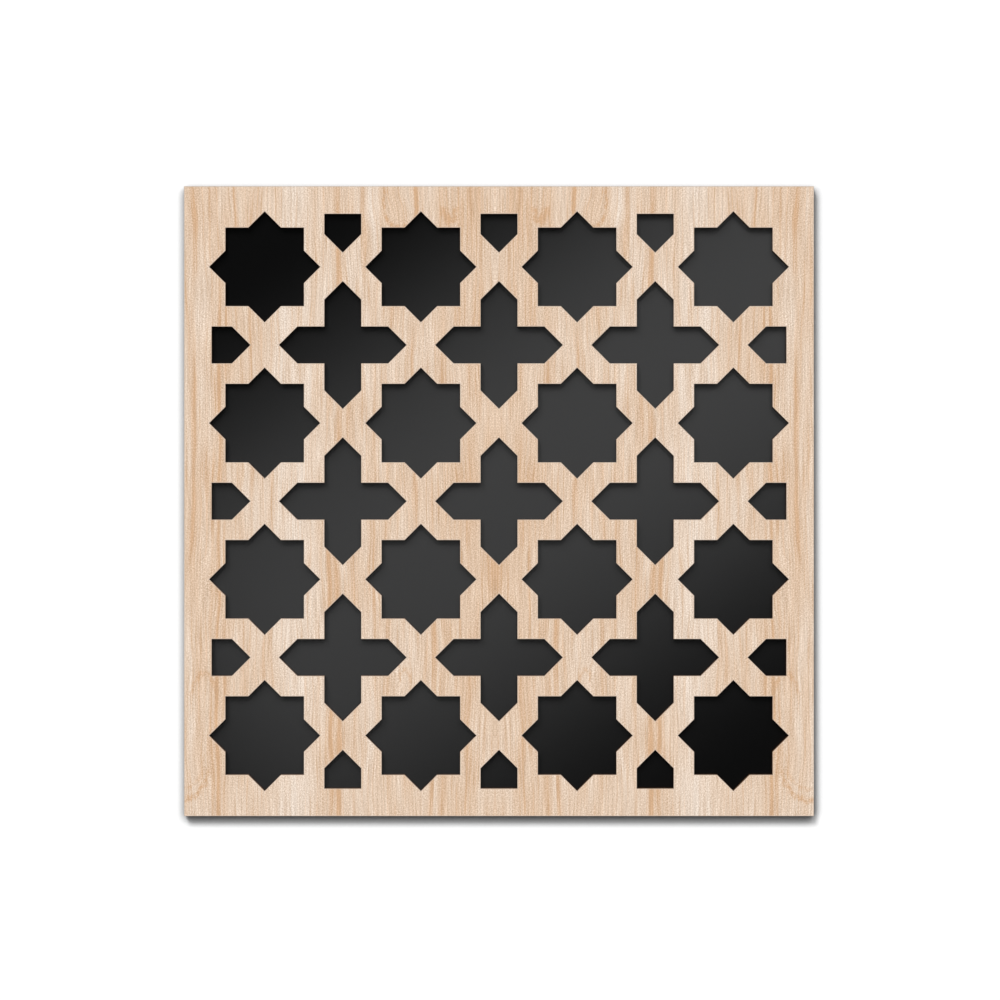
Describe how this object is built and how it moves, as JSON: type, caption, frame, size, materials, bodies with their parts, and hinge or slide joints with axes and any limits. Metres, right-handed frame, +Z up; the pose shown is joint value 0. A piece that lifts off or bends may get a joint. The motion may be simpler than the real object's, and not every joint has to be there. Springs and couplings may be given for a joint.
{
  "type": "laser-cut panel",
  "caption": "Square laser-cut wall panel: a pale wood lattice of eight-pointed stars and crosses, glued over a satin black board.",
  "frame": {"origin": "centre of the back face, which lies on the wall", "axes": "+Y out of the back face into the wall, so the patterned front looks along -Y; +Z up; +X to the right as seen from the front"},
  "size_m": [0.6, 0.0093, 0.6],
  "materials": {
    "pale_wood": "satin",
    "black_lacquer": "satin"
  },
  "bodies": {
    "root": {"star_lattice": "pale_wood", "backing_board": "black_lacquer"}
  },
  "joints": []
}
